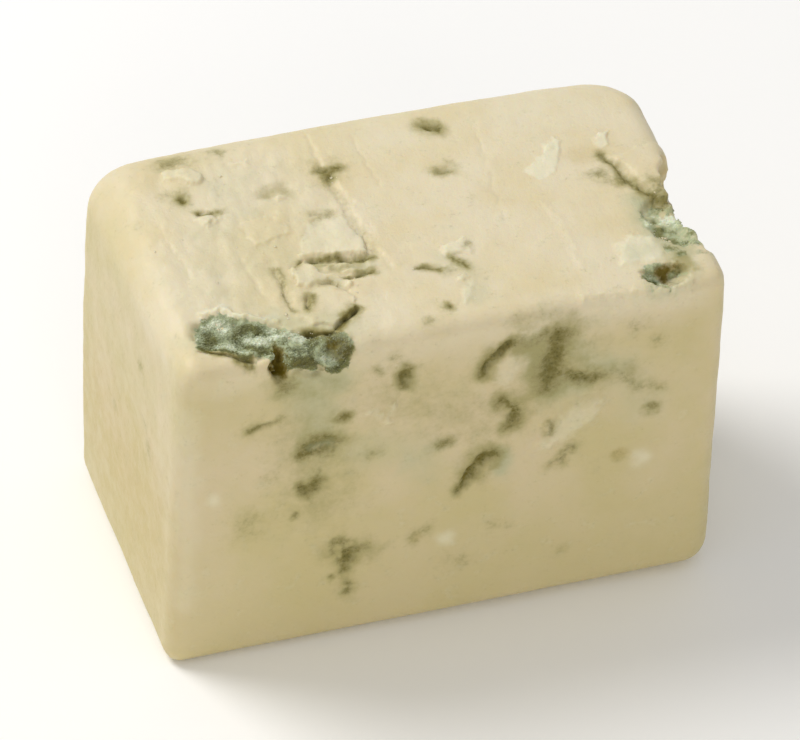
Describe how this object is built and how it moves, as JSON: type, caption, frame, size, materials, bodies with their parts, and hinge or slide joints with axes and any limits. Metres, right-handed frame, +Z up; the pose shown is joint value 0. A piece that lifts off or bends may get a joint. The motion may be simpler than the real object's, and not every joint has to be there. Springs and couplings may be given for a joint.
{
  "type": "blue cheese chunk",
  "caption": "Bite-sized rectangular chunk of blue-veined cheese, with open curd hollows, cracks, knife-dragged flakes, a mould-filled hollow on its top front edge and a broken right end.",
  "frame": {"origin": "middle of the flat base that the chunk rests on", "axes": "+X along the length towards the broken end, -Y towards the front, the long side that carries most veins, +Z up"},
  "size_m": [0.0416, 0.0246, 0.0291],
  "materials": {
    "paste": "moist cream-coloured curd, soft satin, translucent, with grey-green veins",
    "mould": "dull grey-green mould growth with pale tips, dry and slightly fluffy"
  },
  "bodies": {
    "root": {"cheese": "paste"}
  },
  "joints": []
}
